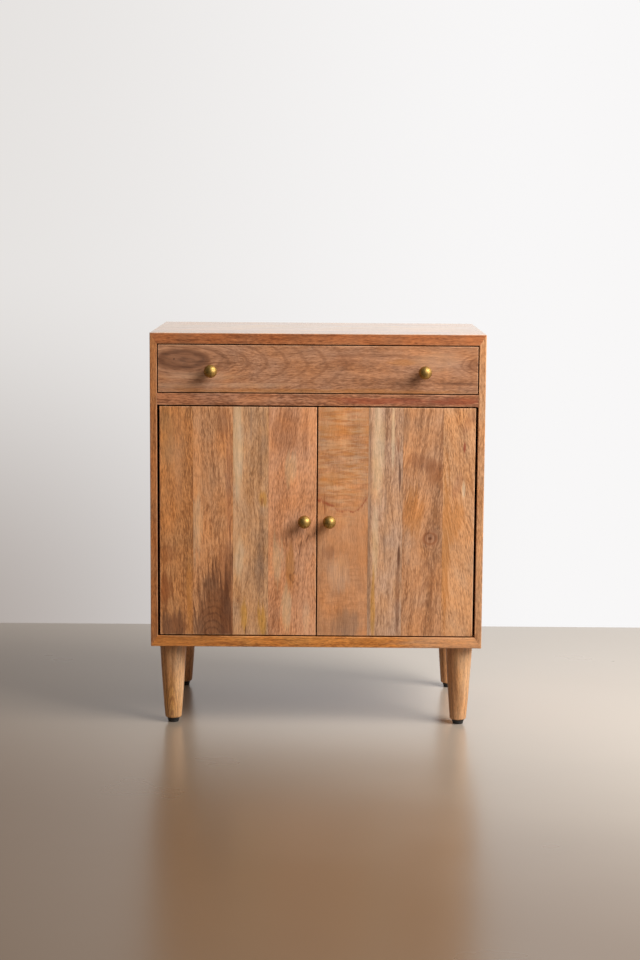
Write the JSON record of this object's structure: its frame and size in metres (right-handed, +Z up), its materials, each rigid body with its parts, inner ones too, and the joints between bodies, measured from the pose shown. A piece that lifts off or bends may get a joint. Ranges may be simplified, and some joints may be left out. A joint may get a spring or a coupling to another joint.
{
  "type": "storage console cabinet",
  "caption": "Wooden storage cabinet on turned tapered legs, with a telescopic drawer above pivot-hung doors, ball knobs, a loose shelf inside and levelling feet.",
  "frame": {"origin": "on the floor, under the middle of the footprint, knobs counted in", "axes": "+X to the right seen from the front, +Y to the back, +Z up"},
  "size_m": [0.762, 0.4902, 0.912],
  "materials": {
    "carcass_wood": "satin",
    "drawer_front_wood": "satin",
    "door_wood": "satin",
    "leg_wood": "satin",
    "plain_wood": "matte",
    "plywood": "matte",
    "antique_brass": "polished",
    "bush_brass": "satin",
    "blackened_steel": "satin",
    "zinc_steel": "satin",
    "black_plastic": "matte",
    "catch_plastic": "matte",
    "ferrite": "matte"
  },
  "bodies": {
    "cabinet": {"top_panel": "carcass_wood", "bottom_panel": "carcass_wood", "left_side_panel": "carcass_wood", "right_side_panel": "carcass_wood", "mitre_splines": "plain_wood", "divider_rail": "carcass_wood", "dust_board": "plain_wood", "back_panel": "plywood", "back_panel_screws": "zinc_steel", "shelf": "carcass_wood", "shelf_pins": "zinc_steel", "left_runner_fixed_channel": "zinc_steel", "right_runner_fixed_channel": "zinc_steel", "runner_cabinet_screws": "zinc_steel", "left_catch_housing": "catch_plastic", "right_catch_housing": "catch_plastic", "catch_magnets": "ferrite", "catch_screws": "zinc_steel", "door_pivot_bushes": "bush_brass", "front_left_leg": "leg_wood", "front_right_leg": "leg_wood", "rear_left_leg": "leg_wood", "rear_right_leg": "leg_wood", "leg_hanger_bolts": "zinc_steel", "leg_insert_nuts": "zinc_steel", "foot_sleeves": "zinc_steel"},
    "runner_middles": {"left_runner_middle_channel": "zinc_steel", "right_runner_middle_channel": "zinc_steel"},
    "outer_cages": {"outer_ball_cages": "zinc_steel"},
    "inner_cages": {"inner_ball_cages": "zinc_steel"},
    "drawer": {"drawer_front": "drawer_front_wood", "drawer_sub_front": "plain_wood", "drawer_back": "plain_wood", "drawer_left_side": "plain_wood", "drawer_right_side": "plain_wood", "drawer_bottom": "plywood", "drawer_front_screws": "zinc_steel", "drawer_knob_screws": "zinc_steel", "left_drawer_knob": "antique_brass", "right_drawer_knob": "antique_brass", "left_runner_drawer_channel": "zinc_steel", "right_runner_drawer_channel": "zinc_steel", "runner_drawer_screws": "zinc_steel"},
    "left_door": {"left_door_panel": "door_wood", "left_door_knob": "antique_brass", "left_door_knob_screw": "zinc_steel", "left_door_pivot_pins": "blackened_steel", "left_door_strike_plate": "zinc_steel", "left_door_strike_screws": "zinc_steel"},
    "right_door": {"right_door_panel": "door_wood", "right_door_knob": "antique_brass", "right_door_knob_screw": "zinc_steel", "right_door_pivot_pins": "blackened_steel", "right_door_strike_plate": "zinc_steel", "right_door_strike_screws": "zinc_steel"},
    "front_left_leveller": {"front_left_foot": "black_plastic"},
    "front_right_leveller": {"front_right_foot": "black_plastic"},
    "rear_left_leveller": {"rear_left_foot": "black_plastic"},
    "rear_right_leveller": {"rear_right_foot": "black_plastic"}
  },
  "joints": [
    {"name": "drawer_slide", "type": "slide", "parent": "cabinet", "child": "drawer", "axis": [0, -1, 0], "range_m": [0, 0.38]},
    {"name": "runner_middle_slide", "type": "slide", "parent": "cabinet", "child": "runner_middles", "axis": [0, -1, 0], "range_m": [0, 0.19]},
    {"name": "outer_cage_slide", "type": "slide", "parent": "cabinet", "child": "outer_cages", "axis": [0, -1, 0], "range_m": [0, 0.095]},
    {"name": "inner_cage_slide", "type": "slide", "parent": "cabinet", "child": "inner_cages", "axis": [0, -1, 0], "range_m": [0, 0.285]},
    {"name": "left_door_hinge", "type": "hinge", "parent": "cabinet", "child": "left_door", "pos_m": [-0.3475, -0.20112, 0.481], "axis": [0, 0, -1], "range_deg": [0, 105]},
    {"name": "right_door_hinge", "type": "hinge", "parent": "cabinet", "child": "right_door", "pos_m": [0.3475, -0.20112, 0.481], "axis": [0, 0, 1], "range_deg": [0, 105]},
    {"name": "front_left_foot_screw", "type": "slide", "parent": "cabinet", "child": "front_left_leveller", "axis": [0, 0, -1], "range_m": [0, 0.012]},
    {"name": "front_right_foot_screw", "type": "slide", "parent": "cabinet", "child": "front_right_leveller", "axis": [0, 0, -1], "range_m": [0, 0.012]},
    {"name": "rear_left_foot_screw", "type": "slide", "parent": "cabinet", "child": "rear_left_leveller", "axis": [0, 0, -1], "range_m": [0, 0.012]},
    {"name": "rear_right_foot_screw", "type": "slide", "parent": "cabinet", "child": "rear_right_leveller", "axis": [0, 0, -1], "range_m": [0, 0.012]}
  ],
  "couplings": [
    {"joint": "runner_middle_slide", "follows": "drawer_slide", "ratio": 0.5},
    {"joint": "outer_cage_slide", "follows": "drawer_slide", "ratio": 0.25},
    {"joint": "inner_cage_slide", "follows": "drawer_slide", "ratio": 0.75}
  ]
}
